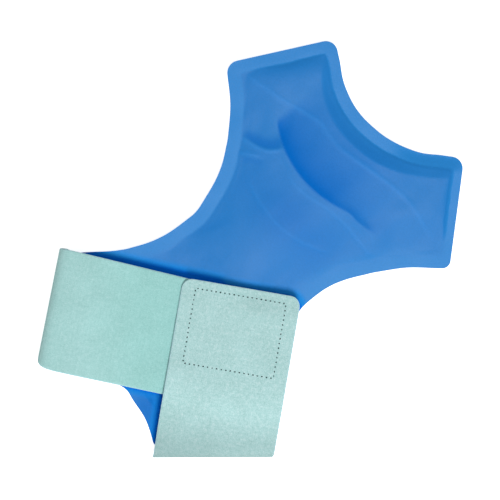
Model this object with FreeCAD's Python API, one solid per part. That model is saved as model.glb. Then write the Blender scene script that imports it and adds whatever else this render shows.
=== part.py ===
import FreeCAD, Part
import math, os

# Cold compression wrap: a bow-tie shaped gel pack between two welded films,
# with a loop-elastic strap sewn under the end of each lower arm.
# Frame: +Z up, origin on the rest plane under the centre of the bow-tie,
# +Y along the long axis towards the two free wings. The front film faces +Z,
# right is +X. Millimetres and degrees; angles run anticlockwise from +X.

Vector = FreeCAD.Vector

# ---- Pack outline: the +X +Y quadrant as (x, y), mirrored in X and in Y ----
# From the middle of the notch to the arm end corner beside it
NOTCH = [
    (0.0, 119.0), (10.5, 119.5), (21.6, 122.1), (34.3, 127.9),
    (44.7, 135.7), (51.0, 140.1), (57.4, 144.8),
]
# From the arm end corner beside the waist to the middle of the waist
WAIST = [
    (99.4, 85.2), (93.5, 79.9), (78.7, 66.8), (66.4, 51.5), (62.0, 44.9),
    (55.9, 34.4), (51.3, 22.7), (48.2, 9.1), (46.9, 0.0),
]
WING_CORNER_R = 8.0              # end corners of the free wings
STRAPPED_CORNER_R = 5.0          # end corners of the strapped arms
END_LINE_HALF = 60.0             # strapped end lines are drawn long, then trimmed

# ---- Inset curves ----
OFFSET_SAMPLES = 120             # intervals sampled along a curved side
OFFSET_OVERRUN = 2.0             # extension of an offset side past its ends
CORNER_CLEARANCE = 0.3           # samples nearer a corner are dropped, in intervals
SPLINE_SPANS = 14                # spans of each finished curved side

# ---- Films and gel ----
FLANGE_W = 8.5                   # welded border
FILM_T = 0.4                     # one film
WELD_Z = 3.0                     # plane where the two films are welded
PACK_TOP = 11.0                  # top of the filled pack
GEL_GAP = 0.05                   # clearance between gel and film
CAVITY_OVERRUN = 1.0             # the cavity cutters pass the weld plane by this much

# Rows: inset from the flange's inner edge, outer z, film thickness measured in z
FRONT_STATIONS = [
    (0.0, WELD_Z + FILM_T, 0.0),
    (2.2, 7.4, 0.15),
    (6.5, 10.1, 0.33),
    (11.0, PACK_TOP, FILM_T),
]
BACK_STATIONS = [
    (5.0, 0.0, FILM_T),
    (0.0, WELD_Z - FILM_T, 0.0),
]

# ---- Fold lines of the pack ----
WAIST_FOLD_Y = 14.0              # fold across the waist, along X
WING_AXIS_DEG = 35.2             # wing direction above the X axis
WING_FOLD_DISTANCE = 80.0        # wing fold from the origin
FOLD_GAP = 0.10                  # gap between pieces on the two sides of a fold
BLOCK_SIZE = 400.0               # dividing blocks, larger than the pack
BLOCK_HEIGHT = 60.0
BLOCK_BOTTOM = -20.0

# ---- Straps ----
STRAP_T = 1.3                    # brushed loop elastic
STRAP_BOTTOM = 1.0               # underside of the sewn ends
STRAP_GAP = 0.05                 # set-back of each strap piece's cut end
SEWN_MARGIN = 0.8                # sewn end stops this far short of the flange's inner edge
RUN_LEN = 112.0                  # fold to tip
TIP_LEN = 64.0                   # separate piece at the free end
TIP_R = 7.0                      # tip corner radius

# ---- Hook patch ----
PATCH_T = 1.0
PATCH_W = 63.0                   # across the strap
PATCH_L = 53.0                   # along the strap
PATCH_R = 3.0                    # corner radius
PATCH_FROM_TIP = 31.0            # patch centre to strap tip
PATCH_GAP = 0.05                 # clearance under the strap

# ---- Stitches ----
STITCH_BOX_W = 59.0              # stitched rectangle, across the strap
STITCH_BOX_L = 48.6              # and along it
STITCH_PITCH = 2.95
STITCH_LEN = 1.9
STITCH_W = 0.45
STITCH_H = 0.30
STITCH_CHAMFER = STITCH_H * 0.4
STITCH_GAP = 0.02                # clearance above the surface it lies on
ROOT_ROWS = (3.0, 5.6)           # stitch rows from the strapped end of the arm
ROOT_STITCHES = 22               # stitches in a row


def save(name, shape):
    shape.exportStep("parts/%s.step" % name)


def unit(degrees):
    return math.cos(math.radians(degrees)), math.sin(math.radians(degrees))


def is_vertical(edge):
    start, end = edge.Vertexes[0].Point, edge.Vertexes[-1].Point
    return (abs(start.x - end.x) < 1e-6 and abs(start.y - end.y) < 1e-6
            and abs(start.z - end.z) > 1e-3)


def polygon_prism(points, bottom, top, rounded=(), radius=0.0):
    """Upright prism; the corners listed in rounded get the radius."""
    wire = Part.makePolygon([Vector(x, y, bottom) for x, y in points + points[:1]])
    solid = Part.Face(wire).extrude(Vector(0, 0, top - bottom))
    if not rounded:
        return solid
    corners = []
    for edge in filter(is_vertical, solid.Edges):
        foot = edge.Vertexes[0].Point
        if any(math.hypot(foot.x - x, foot.y - y) < 1e-4 for x, y in rounded):
            corners.append(edge)
    return solid.makeFillet(radius, corners)


def stitch(x, y, degrees, z):
    """One stitch with chamfered top edges, its underside at z."""
    bar = Part.makeBox(STITCH_LEN, STITCH_W, STITCH_H, Vector(-STITCH_LEN / 2, -STITCH_W / 2, z))
    top_edges = [edge for edge in bar.Edges
                 if all(edge.Vertexes[end].Point.z > z + STITCH_H - 1e-6 for end in (0, -1))]
    bar = bar.makeChamfer(STITCH_CHAMFER, top_edges)
    bar.rotate(Vector(0, 0, 0), Vector(0, 0, 1), degrees)
    bar.translate(Vector(x, y, 0))
    return bar


def stitch_centres(length):
    """Evenly spaced stitch centres along a centred row, near the nominal pitch."""
    count = int(round(length / STITCH_PITCH))
    return [-length / 2 + (i + 0.5) * length / count for i in range(count)]


class Strap:
    """A strap that passes under the arm end, turns up around it and runs back over the pack.

    Local frame: origin at the middle of the fold line, +x inwards square to it, +y along it.
    """

    def __init__(self, name, fold_mid, fold_deg, run_deg, width, underside, trim):
        self.name = name
        self.fold_mid = fold_mid
        self.width = width
        self.underside = underside
        self.top = underside + STRAP_T
        self.trim = trim                     # fold line to the end of the arm
        self.inward_deg = fold_deg - 90.0
        if math.cos(math.radians(self.inward_deg - run_deg)) < 0:
            self.inward_deg += 180.0
        self.skew_deg = run_deg - self.inward_deg
        self.skew = math.radians(self.skew_deg)
        self.loop_r = (self.top - STRAP_BOTTOM) / 2
        # Distances along the run are measured from the axis of the loop
        self.tip_end = RUN_LEN - self.loop_r
        self.tip_start = self.tip_end - TIP_LEN

    def arm_end_line(self):
        """Line of the arm's straight end, clockwise around the pack."""
        inward_x, inward_y = unit(self.inward_deg)
        x = self.fold_mid[0] + inward_x * self.trim
        y = self.fold_mid[1] + inward_y * self.trim
        step_x, step_y = END_LINE_HALF * inward_y, -END_LINE_HALF * inward_x
        return [(x + step_x, y + step_y), (x - step_x, y - step_y)]

    def save(self, piece, shape):
        """Move a piece from the local frame to its place and save it."""
        shape.rotate(Vector(0, 0, 0), Vector(0, 0, 1), self.inward_deg)
        shape.translate(Vector(self.fold_mid[0], self.fold_mid[1], 0))
        save(self.name + "_" + piece, shape)

    def edge_point(self, distance, side):
        """Point on the strap edge (side +1 or -1) on a cut made square to the run."""
        along = distance - side * self.width / 2 * math.sin(self.skew)
        return (self.loop_r + along * math.cos(self.skew),
                side * self.width / 2 + along * math.sin(self.skew))

    def run_point(self, along, across):
        """Point measured along the run and square to it."""
        cos, sin = math.cos(self.skew), math.sin(self.skew)
        return self.loop_r + along * cos - across * sin, along * sin + across * cos

    def make_run(self):
        start = self.loop_r + STRAP_GAP
        end = self.tip_start - STRAP_GAP
        points = [(start, -self.width / 2), (start, self.width / 2),
                  self.edge_point(end, 1), self.edge_point(end, -1)]
        self.save("strap_run", polygon_prism(points, self.underside, self.top))

    def make_tip(self):
        start = self.tip_start + STRAP_GAP
        points = [self.edge_point(start, -1), self.edge_point(start, 1),
                  self.edge_point(self.tip_end, 1), self.edge_point(self.tip_end, -1)]
        tip = polygon_prism(points, self.underside, self.top, points[2:], TIP_R)
        self.save("strap_tip", tip)

    def make_fold(self):
        """Half ring around the end of the arm."""
        width, radius = self.width, self.loop_r
        axis_z = STRAP_BOTTOM + radius
        along_fold = Vector(0, 1, 0)
        ring = Part.makeCylinder(radius, width, Vector(radius, -width / 2, axis_z), along_fold)
        ring = ring.cut(Part.makeCylinder(
            radius - STRAP_T, width + 2, Vector(radius, -width / 2 - 1, axis_z), along_fold))
        outer_half = Part.makeBox(radius + 5, width + 4, 60, Vector(-5, -width / 2 - 2, -10))
        self.save("strap_fold", ring.common(outer_half))

    def make_sewn_end(self):
        """Sewn end under the arm; its sides slant opposite to those of the run."""
        start = self.loop_r + STRAP_GAP
        end = self.trim + FLANGE_W - SEWN_MARGIN
        shift = (end - self.loop_r) * math.tan(self.skew)
        half = self.width / 2
        points = [(start, -half), (start, half), (end, half - shift), (end, -half - shift)]
        self.save("strap_sewn_end", polygon_prism(points, STRAP_BOTTOM, STRAP_BOTTOM + STRAP_T))

    def make_root_stitches(self):
        """Rows of stitches on the flange at the arm end."""
        z = WELD_Z + FILM_T + STITCH_GAP
        bars = [stitch(self.trim + row, (i - (ROOT_STITCHES - 1) / 2) * STITCH_PITCH, 90, z)
                for row in ROOT_ROWS for i in range(ROOT_STITCHES)]
        self.save("root_stitches", Part.makeCompound(bars))

    def make_hook_patch(self):
        """Hook patch under the tip."""
        centre = self.tip_end - PATCH_FROM_TIP
        corners = [self.run_point(centre + along * PATCH_L / 2, across * PATCH_W / 2)
                   for along, across in ((-1, -1), (-1, 1), (1, 1), (1, -1))]
        top = self.underside - PATCH_GAP
        self.save("hook_patch", polygon_prism(corners, top - PATCH_T, top, corners, PATCH_R))

    def make_patch_stitches(self):
        """Rectangle of stitches on top of the strap, over the patch."""
        centre = self.tip_end - PATCH_FROM_TIP
        z = self.top + STITCH_GAP
        bars = []
        for across in stitch_centres(STITCH_BOX_W):
            for side in (-1, 1):
                x, y = self.run_point(centre + side * STITCH_BOX_L / 2, across)
                bars.append(stitch(x, y, self.skew_deg + 90, z))
        for along in stitch_centres(STITCH_BOX_L):
            for side in (-1, 1):
                x, y = self.run_point(centre + along, side * STITCH_BOX_W / 2)
                bars.append(stitch(x, y, self.skew_deg, z))
        self.save("patch_stitches", Part.makeCompound(bars))

    def make(self):
        self.make_run()
        self.make_tip()
        self.make_fold()
        self.make_sewn_end()
        self.make_root_stitches()


# The inner strap, on the left arm, lies below the outer one, on the right arm.
INNER = Strap("inner", fold_mid=(-75.65, -111.8), fold_deg=121.5, run_deg=30.9,
              width=77.5, underside=12.2, trim=5.5)
OUTER = Strap("outer", fold_mid=(69.75, -109.75), fold_deg=42.9, run_deg=122.9,
              width=76.8, underside=15.0, trim=6.5)


# ---- Outline and its insets ----
def spline_curve(points):
    curve = Part.BSplineCurve()
    curve.interpolate([Vector(x, y, 0) for x, y in points])
    return curve


def outline_sides():
    """The eight sides, clockwise from the upper notch: curved and straight in turn."""
    top = [(-x, y) for x, y in reversed(NOTCH[1:])] + NOTCH
    right = WAIST + [(x, -y) for x, y in reversed(WAIST[:-1])]
    bottom = [(-x, -y) for x, y in top]
    left = [(-x, -y) for x, y in right]
    return [top, [top[-1], right[0]], right, OUTER.arm_end_line(),
            bottom, INNER.arm_end_line(), left, [left[-1], top[0]]]


def offset_side(side, distance):
    """Points of one side moved inwards, to the right of the direction of travel."""
    if len(side) == 2:
        (x0, y0), (x1, y1) = side
        length = math.hypot(x1 - x0, y1 - y0)
        shift_x = (y1 - y0) / length * distance
        shift_y = -(x1 - x0) / length * distance
        return [(x0 + shift_x, y0 + shift_y), (x1 + shift_x, y1 + shift_y)]
    curve = spline_curve(side)
    start, end = curve.FirstParameter, curve.LastParameter
    points = []
    for i in range(OFFSET_SAMPLES + 1):
        parameter = start + (end - start) * i / OFFSET_SAMPLES
        on_curve = curve.value(parameter)
        tangent = curve.tangent(parameter)[0]
        x = on_curve.x + tangent.y * distance
        y = on_curve.y - tangent.x * distance
        if i == 0:
            points.append((x - OFFSET_OVERRUN * tangent.x, y - OFFSET_OVERRUN * tangent.y))
        points.append((x, y))
        if i == OFFSET_SAMPLES:
            points.append((x + OFFSET_OVERRUN * tangent.x, y + OFFSET_OVERRUN * tangent.y))
    return points


def crossings(polyline, line):
    """(index position, point) wherever the polyline meets the infinite line."""
    (ax, ay), (bx, by) = line
    found = []
    for i, ((px, py), (qx, qy)) in enumerate(zip(polyline[:-1], polyline[1:])):
        side_p = (bx - ax) * (py - ay) - (by - ay) * (px - ax)
        side_q = (bx - ax) * (qy - ay) - (by - ay) * (qx - ax)
        if side_p * side_q <= 0 and abs(side_p - side_q) > 1e-12:
            fraction = side_p / (side_p - side_q)
            point = (px + fraction * (qx - px), py + fraction * (qy - py))
            found.append((i + fraction, point))
    return found


def resample(points, spans):
    """Points at equal distances along a polyline."""
    lengths = [0.0]
    for (px, py), (qx, qy) in zip(points[:-1], points[1:]):
        lengths.append(lengths[-1] + math.hypot(qx - px, qy - py))
    result = []
    j = 0
    for i in range(spans + 1):
        target = lengths[-1] * i / spans
        while j < len(lengths) - 2 and lengths[j + 1] < target:
            j += 1
        fraction = (target - lengths[j]) / (lengths[j + 1] - lengths[j])
        (px, py), (qx, qy) = points[j], points[j + 1]
        result.append((px + fraction * (qx - px), py + fraction * (qy - py)))
    return result


def outline_wire(inset, z):
    """Closed outline moved inwards, always eight edges in the same order."""
    sides = [offset_side(side, inset) for side in outline_sides()]
    for k in (0, 2, 4, 6):
        first, start = crossings(sides[k], sides[k - 1])[0]
        last, end = crossings(sides[k], sides[k + 1])[-1]
        body = [point for i, point in enumerate(sides[k])
                if first + CORNER_CLEARANCE < i < last - CORNER_CLEARANCE]
        sides[k] = [start] + body + [end]
    for k in (1, 3, 5, 7):
        sides[k] = [sides[k - 1][-1], sides[(k + 1) % 8][0]]
    edges = []
    for points in sides:
        if len(points) == 2:
            edges.append(Part.makeLine(*[Vector(x, y, 0) for x, y in points]))
        else:
            edges.append(spline_curve(resample(points, SPLINE_SPANS)).toShape())
    wire = Part.Wire(edges)
    wire.translate(Vector(0, 0, z))
    return wire


# ---- Whole-pack solids ----
def stack(levels):
    """Closed solid through (inset, z) levels, with ruled walls between them."""
    rings = [outline_wire(inset, z) for inset, z in levels]
    faces = [Part.Face(rings[0]), Part.Face(rings[-1])]
    for lower, upper in zip(rings[:-1], rings[1:]):
        for lower_edge, upper_edge in zip(lower.Edges, upper.Edges):
            faces.append(Part.makeRuledSurface(lower_edge, upper_edge))
    shell = Part.makeShell(faces)
    shell.sewShape()
    solid = Part.makeSolid(shell)
    if solid.Volume < 0:
        solid.reverse()
    return solid


def flange(bottom):
    """One film's full outline, with the eight arm end corners rounded."""
    solid = Part.Face(outline_wire(0.0, bottom)).extrude(Vector(0, 0, FILM_T))
    for radius, is_wing in ((WING_CORNER_R, True), (STRAPPED_CORNER_R, False)):
        corners = [edge for edge in solid.Edges
                   if is_vertical(edge) and (edge.Vertexes[0].Point.y > 0) == is_wing]
        solid = solid.makeFillet(radius, corners)
    return solid


def film(flange_bottom, outer_levels, cavity_levels):
    return flange(flange_bottom).fuse(stack(outer_levels)).cut(stack(cavity_levels))


CAVITY_INSET = FLANGE_W + FILM_T
front_cavity = [(CAVITY_INSET + inset, z - drop) for inset, z, drop in FRONT_STATIONS]
back_cavity = [(CAVITY_INSET + inset, z + lift) for inset, z, lift in BACK_STATIONS]


def front_film():
    outer = [(FLANGE_W, WELD_Z)] + [(FLANGE_W + inset, z) for inset, z, _ in FRONT_STATIONS]
    cavity = [(CAVITY_INSET, WELD_Z - CAVITY_OVERRUN)] + front_cavity
    return film(WELD_Z, outer, cavity)


def back_film():
    outer = [(FLANGE_W + inset, z) for inset, z, _ in BACK_STATIONS] + [(FLANGE_W, WELD_Z)]
    cavity = back_cavity + [(CAVITY_INSET, WELD_Z + CAVITY_OVERRUN)]
    return film(WELD_Z - FILM_T, outer, cavity)


def gel_fill():
    """Gel, clear of both films all round."""
    return stack([(inset + GEL_GAP, z + GEL_GAP) for inset, z in back_cavity]
                 + [(inset + GEL_GAP, z - GEL_GAP) for inset, z in front_cavity])


# ---- Division at the folds ----
def fold_blocks(degrees, distance):
    """Blocks beyond and within a fold square to a direction from the origin."""
    blocks = []
    for facing, offset in ((degrees, distance + FOLD_GAP / 2),
                           (degrees + 180, distance - FOLD_GAP / 2)):
        block = Part.makeBox(BLOCK_SIZE, 2 * BLOCK_SIZE, BLOCK_HEIGHT,
                             Vector(0, -BLOCK_SIZE, BLOCK_BOTTOM))
        block.rotate(Vector(0, 0, 0), Vector(0, 0, 1), facing)
        direction_x, direction_y = unit(degrees)
        block.translate(Vector(direction_x * offset, direction_y * offset, 0))
        blocks.append(block)
    return blocks


above_waist, below_waist = fold_blocks(90, WAIST_FOLD_Y)
right_out, right_in = fold_blocks(WING_AXIS_DEG, WING_FOLD_DISTANCE)
left_out, left_in = fold_blocks(180 - WING_AXIS_DEG, WING_FOLD_DISTANCE)


def divide(name, solid):
    """Save the four pieces of a whole-pack solid."""
    upper = solid.common(above_waist)
    save(name + "_lower", solid.common(below_waist))
    save(name + "_upper", upper.common(right_in).common(left_in))
    save(name + "_right_wing", upper.common(right_out))
    save(name + "_left_wing", upper.common(left_out))


os.makedirs("parts", exist_ok=True)
divide("front_film", front_film())
divide("back_film", back_film())
divide("gel_fill", gel_fill())
INNER.make()
OUTER.make()
OUTER.make_hook_patch()
OUTER.make_patch_stitches()
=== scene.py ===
# A four-armed cold pack: a blue gel pouch with two mint loop-fabric straps, lying flat.
#
# The pouch lies in the XY plane, its front towards +Z and its back on the floor at z = 0.
# Two free wings reach towards +Y, left (-X) and right (+X). The two arms towards -Y carry the
# straps, folded up and over the front: the inner strap from the -X arm, the outer strap from
# the +X arm and on top of the inner one. Lengths are in mm unless noted; meshes are in metres.

import math

import bpy
import numpy as np
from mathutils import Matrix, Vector
from mathutils.geometry import delaunay_2d_cdt


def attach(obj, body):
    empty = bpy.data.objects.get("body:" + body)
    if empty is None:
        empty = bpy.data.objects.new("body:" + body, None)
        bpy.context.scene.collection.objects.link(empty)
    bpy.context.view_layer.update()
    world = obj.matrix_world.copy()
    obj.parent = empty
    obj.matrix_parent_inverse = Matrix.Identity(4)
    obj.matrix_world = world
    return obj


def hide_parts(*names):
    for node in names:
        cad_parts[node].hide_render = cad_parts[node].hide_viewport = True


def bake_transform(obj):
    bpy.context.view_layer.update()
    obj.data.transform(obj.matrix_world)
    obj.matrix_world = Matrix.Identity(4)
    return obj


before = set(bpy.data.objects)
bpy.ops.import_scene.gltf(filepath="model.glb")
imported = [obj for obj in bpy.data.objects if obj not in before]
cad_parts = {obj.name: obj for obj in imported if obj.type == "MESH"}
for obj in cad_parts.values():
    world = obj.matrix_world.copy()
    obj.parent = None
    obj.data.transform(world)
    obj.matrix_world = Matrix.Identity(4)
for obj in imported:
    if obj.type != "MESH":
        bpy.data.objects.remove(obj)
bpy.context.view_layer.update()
MM = 0.001


def unit(degrees):
    return np.array([math.cos(math.radians(degrees)), math.sin(math.radians(degrees))])


# ------------------------------------------------------------------ view frame
# The camera looks down, turned about Z. The view frame has the same origin, in mm, with its
# axes along the camera's right and up. The folds of the pouch are laid out in it.
TURN_COS, TURN_SIN = 0.7345, 0.6786


def to_view(xy):
    x, y = xy[:, 0], xy[:, 1]
    return np.c_[TURN_COS * x + TURN_SIN * y, TURN_COS * y - TURN_SIN * x]


def from_view(right, up):
    return TURN_COS * right - TURN_SIN * up, TURN_SIN * right + TURN_COS * up


# ------------------------------------------------------------------ sizes
# Right half of the notch between the wings, and the right waist down to y = 0: x, y
NOTCH = [(0.0, 119.0), (10.5, 119.5), (21.6, 122.1), (34.3, 127.9), (44.7, 135.7), (51.0, 140.1)]
WAIST = [(93.5, 79.9), (78.7, 66.8), (66.4, 51.5), (62.0, 44.9),
         (55.9, 34.4), (51.3, 22.7), (48.2, 9.1), (46.9, 0.0)]
WING_IN = (57.4, 144.8)         # corners of the right wing's end
WING_OUT = (99.4, 85.2)
OUTLINE_STEP = 0.6              # spacing on the drawn curves
SIDE_STEP = 0.8                 # spacing on the eight sides
EDGE_STEP = 1.0                 # spacing on the rounded outline

FLANGE = 8.5                    # width of the welded rim
WELD_Z = 3.0                    # height where the two films meet
FILM = 0.4                      # film thickness
TOP_Z = 11.0                    # top of the pouch under the straps

# Strapped arm ends. mid: middle of the fold; fold, run: directions of the fold line and of the
# strap, in degrees; z: height of the underside at the fold; trim: where the pouch ends.
INNER = dict(mid=(-75.65, -111.8), fold=121.5, run=30.9, width=77.5, z=12.2, trim=5.5)
OUTER = dict(mid=(69.75, -109.75), fold=42.9, run=122.9, width=76.8, z=15.0, trim=6.5)
STRAP_T = 1.3                   # strap thickness
STRAP_BOTTOM = 1.0              # underside of the sewn end
RUN_LEN = 112.0                 # from the fold to the tip, in plan

WING_DEG = 35.2
RIGHT_WING = unit(WING_DEG)
LEFT_WING = RIGHT_WING * [-1, 1]
CUT_WAIST = 23.0                # y of the cut between the lower and middle pieces
CUT_WING = 71.0                 # distance of the wing cuts from the origin


# ------------------------------------------------------------------ curves
def catmull(points, step):
    """Catmull-Rom curve through the points, sampled no coarser than step."""
    p = np.array(points, float)
    p = np.vstack([2 * p[0] - p[1], p, 2 * p[-1] - p[-2]])
    out = []
    for i in range(1, len(p) - 2):
        n = max(2, int(math.ceil(np.linalg.norm(p[i + 1] - p[i]) / step)))
        t = np.arange(n)[:, None] / n
        a, b, c, d = p[i - 1], p[i], p[i + 1], p[i + 2]
        out.append(0.5 * (2 * b + (c - a) * t + (2 * a - 5 * b + 4 * c - d) * t ** 2
                          + (3 * b - a - 3 * c + d) * t ** 3))
    return np.vstack(out + [p[-2][None]])


def resample(line, step):
    """The same polyline with even spacing close to step."""
    along = np.r_[0, np.cumsum(np.hypot(*np.diff(line, axis=0).T))]
    count = max(2, int(round(along[-1] / step)))
    s = np.linspace(0, along[-1], count + 1)
    return np.c_[np.interp(s, along, line[:, 0]), np.interp(s, along, line[:, 1])]


def closed(loop):
    return np.vstack([loop, loop[:1]])


def crossing(line, cut, last):
    """Index and point where a polyline crosses the cut, at its last or first crossing."""
    a, b = cut
    side = (b[0] - a[0]) * (line[:, 1] - a[1]) - (b[1] - a[1]) * (line[:, 0] - a[0])
    hits = np.where(side[:-1] * side[1:] <= 0)[0]
    k = hits[-1] if last else hits[0]
    f = side[k] / (side[k] - side[k + 1] + 1e-15)
    return k, line[k] + f * (line[k + 1] - line[k])


def line_dist(points, line):
    """Distance of each point from an open polyline, and its position along it (0..1)."""
    starts, steps = line[:-1], line[1:] - line[:-1]
    square = (steps ** 2).sum(1)
    along = np.r_[0, np.cumsum(np.sqrt(square))]
    best = np.full(len(points), 1e9)
    pos = np.zeros(len(points))
    for k, step in enumerate(steps):
        offset = points - starts[k]
        t = np.clip((offset @ step) / square[k], 0, 1)
        r = ((offset - t[:, None] * step) ** 2).sum(1)
        m = r < best
        best[m] = r[m]
        pos[m] = (along[k] + t[m] * math.sqrt(square[k])) / along[-1]
    return np.sqrt(best), pos


def inside(points, loop):
    x, y = points[:, 0], points[:, 1]
    result = np.zeros(len(points), bool)
    for (xi, yi), (xj, yj) in zip(loop, np.roll(loop, 1, 0)):
        result ^= ((yi > y) != (yj > y)) & (x < (xj - xi) * (y - yi) / (yj - yi + 1e-30) + xi)
    return result


# ------------------------------------------------------------------ outline
# Small departures of the soft pouch from its pattern, in the view frame:
# centre (right, up), radius, shift (right, up)
NUDGES = [((-104.19085, 2.9737), 13.1, (0.393, 1.703)),
          ((-83.88585, -84.1413), 8.515, (3.275, 0.655)),
          ((47.76915, -19.9513), 22.27, (-0.917, 1.572)),
          ((-63.58085, -121.4763), 15.72, (-1.834, 0.0)),
          ((95.58415, 75.0237), 17.03, (0.262, 0.5895)),
          ((1.91915, 133.3187), 19.65, (0.1965, -1.5065)),
          ((-28.86585, 39.6537), 26.2, (-0.393, 0.5895))]


def nudge(line):
    view = to_view(line)
    moved = view.copy()
    for centre, radius, shift in NUDGES:
        w = np.exp(-((view - np.array(centre)) ** 2).sum(1) / (radius * radius))
        moved += w[:, None] * np.array(shift)
    return np.c_[from_view(moved[:, 0], moved[:, 1])]


def fold_angle(end):
    """Direction square to the fold line, on the side the strap runs to, in degrees."""
    angle = end["fold"] - 90.0
    if math.cos(math.radians(angle - end["run"])) < 0:
        angle += 180.0
    return angle


def trim_line(end, reach=60):
    """Line that cuts the arm off parallel to its fold."""
    d = unit(fold_angle(end))
    p = np.array(end["mid"]) + d * end["trim"]
    t = np.array([-d[1], d[0]])
    return np.array([p - reach * t, p + reach * t])


# Places in the list of sides, clockwise seen from +Z
NOTCH_SIDE, RIGHT_END, RIGHT_WAIST, OUTER_END = 0, 1, 2, 3
LOWER_NOTCH, INNER_END, LEFT_WAIST, LEFT_END = 4, 5, 6, 7


def outline_sides():
    left_half = [(-x, y) for x, y in reversed(NOTCH[1:])]
    notch = [(-WING_IN[0], WING_IN[1])] + left_half + NOTCH + [WING_IN]
    lower_waist = [(x, -y) for x, y in reversed(WAIST[:-1])]
    waist = [WING_OUT] + WAIST + lower_waist + [(WING_OUT[0], -WING_OUT[1])]
    notch, waist = catmull(notch, OUTLINE_STEP), catmull(waist, OUTLINE_STEP)
    left_end = np.array([(-WING_OUT[0], WING_OUT[1]), (-WING_IN[0], WING_IN[1])])
    lines = [notch, np.array([WING_IN, WING_OUT]), waist, trim_line(OUTER),
             -notch, trim_line(INNER), -waist, left_end]
    # each strapped end is cut straight across, and its neighbours stop at the cut
    for cut in (OUTER_END, INNER_END):
        before, after = lines[cut - 1], lines[cut + 1]
        k, p = crossing(before, lines[cut], last=True)
        lines[cut - 1] = np.vstack([before[:k + 1], p])
        k, q = crossing(after, lines[cut], last=False)
        lines[cut + 1] = np.vstack([q, after[k + 1:]])
        lines[cut] = np.array([p, q])
    return [resample(nudge(line), SIDE_STEP) for line in lines]


SIDES = outline_sides()
CORNER_RADII = [8, 8, 5, 5, 5, 5, 8, 8]     # at the start of each side
CORNER_REACH = 12                           # points either way that give a corner's angle


def rounded_outline():
    """The sides joined in a loop, each corner replaced with an arc."""
    points = np.vstack([s[:-1] for s in SIDES])
    starts = np.cumsum([0] + [len(s) - 1 for s in SIDES])[:-1]
    n = len(points)
    dropped = np.zeros(n, bool)
    arcs = {}
    for radius, i in zip(CORNER_RADII, starts):
        corner = points[i]
        u = points[(i - CORNER_REACH) % n] - corner
        v = points[(i + CORNER_REACH) % n] - corner
        u, v = u / np.linalg.norm(u), v / np.linalg.norm(v)
        half = math.acos(np.clip(u @ v, -1, 1)) / 2
        m = int(round(radius / math.tan(half) / SIDE_STEP))
        first, last = points[(i - m) % n], points[(i + m) % n]
        for j in range(-m, m + 1):
            dropped[(i + j) % n] = True
        # a rational quadratic curve is a true arc with this middle weight
        w = math.sin(half)
        t = np.linspace(0, 1, max(8, 2 * m))[:, None]
        arc = (1 - t) ** 2 * first + 2 * t * (1 - t) * w * corner + t ** 2 * last
        arcs[(i - m) % n] = arc / ((1 - t) ** 2 + 2 * t * (1 - t) * w + t ** 2)
    parts = []
    for i in range(n):
        if i in arcs:
            parts.append(arcs[i])
        if not dropped[i]:
            parts.append(points[i][None])
    p = np.vstack(parts)
    p = p[np.r_[True, np.hypot(*np.diff(p, axis=0).T) > 0.05]]
    return resample(closed(p), EDGE_STEP)[:-1]


OUTLINE = rounded_outline()


# ------------------------------------------------------------------ shaping functions
def ease(x, start=0.0, width=1.0):
    """Smooth step: 0 up to start, 1 from start + width."""
    t = np.clip((x - start) / width, 0, 1)
    return t * t * (3 - 2 * t)


def bell(x, width, power=2):
    return np.exp(-(x / width) ** power)


def window(pos, keys):
    """Smooth interpolation between keys, each (position, value)."""
    k = np.array(keys, float)
    i = np.clip(np.searchsorted(k[:, 0], pos) - 1, 0, len(k) - 2)
    t = ease((pos - k[i, 0]) / (k[i + 1, 0] - k[i, 0]))
    return k[i, 1] * (1 - t) + k[i + 1, 1] * t


def soft_min(values, sharpness):
    h = np.array(values)
    m = h.min(0)
    return m - np.log(np.exp(-(h - m) * sharpness).sum(0)) / sharpness


def smooth_noise(x, y, size, seed):
    """Repeatable value noise with cells of the given size."""
    cells = 64
    g = np.random.default_rng(seed).normal(size=(cells, cells))
    u, v = x / size + 31.3, y / size + 17.7
    i, j = np.floor(u).astype(int), np.floor(v).astype(int)
    fu, fv = u - i, v - j
    fu = fu ** 3 * (fu * (fu * 6 - 15) + 10)
    fv = fv ** 3 * (fv * (fv * 6 - 15) + 10)
    i, j = i % cells, j % cells
    i1, j1 = (i + 1) % cells, (j + 1) % cells
    return (g[i, j] * (1 - fu) * (1 - fv) + g[i1, j] * fu * (1 - fv)
            + g[i, j1] * (1 - fu) * fv + g[i1, j1] * fu * fv)


def chord(view, points):
    """Signed distance from a line that runs along its own chord, positive to the left of
    travel, and the position along the chord (0..1)."""
    line = catmull(points, 1.31)
    length = np.linalg.norm(line[-1] - line[0])
    u = (line[-1] - line[0]) / length
    v = np.array([-u[1], u[0]])
    along, across = (line - line[0]) @ u, (line - line[0]) @ v
    along = np.maximum.accumulate(along + np.arange(len(along)) * 1e-6)
    s = (view - line[0]) @ u
    reach = 1.965       # either way, for the slope of the line
    rise = np.interp(s + reach, along, across) - np.interp(s - reach, along, across)
    slope = rise / (2 * reach)
    dist = ((view - line[0]) @ v - np.interp(s, along, across)) / np.sqrt(1 + slope * slope)
    return dist, s / length


# ------------------------------------------------------------------ rise from the weld
# Weld width along each side
WELD_WIDTHS = [7.7, 6.0, 8.5, 8.5, 8.5, 8.5, 8.5, 8.3]


def ledge_rise(inset, ledge, reach, slope):
    """A quick rise to a ledge, then an even slope."""
    inset = np.clip(inset, 0, None)
    return ledge * (1 - np.exp(-inset / reach)) + slope * inset


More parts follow.
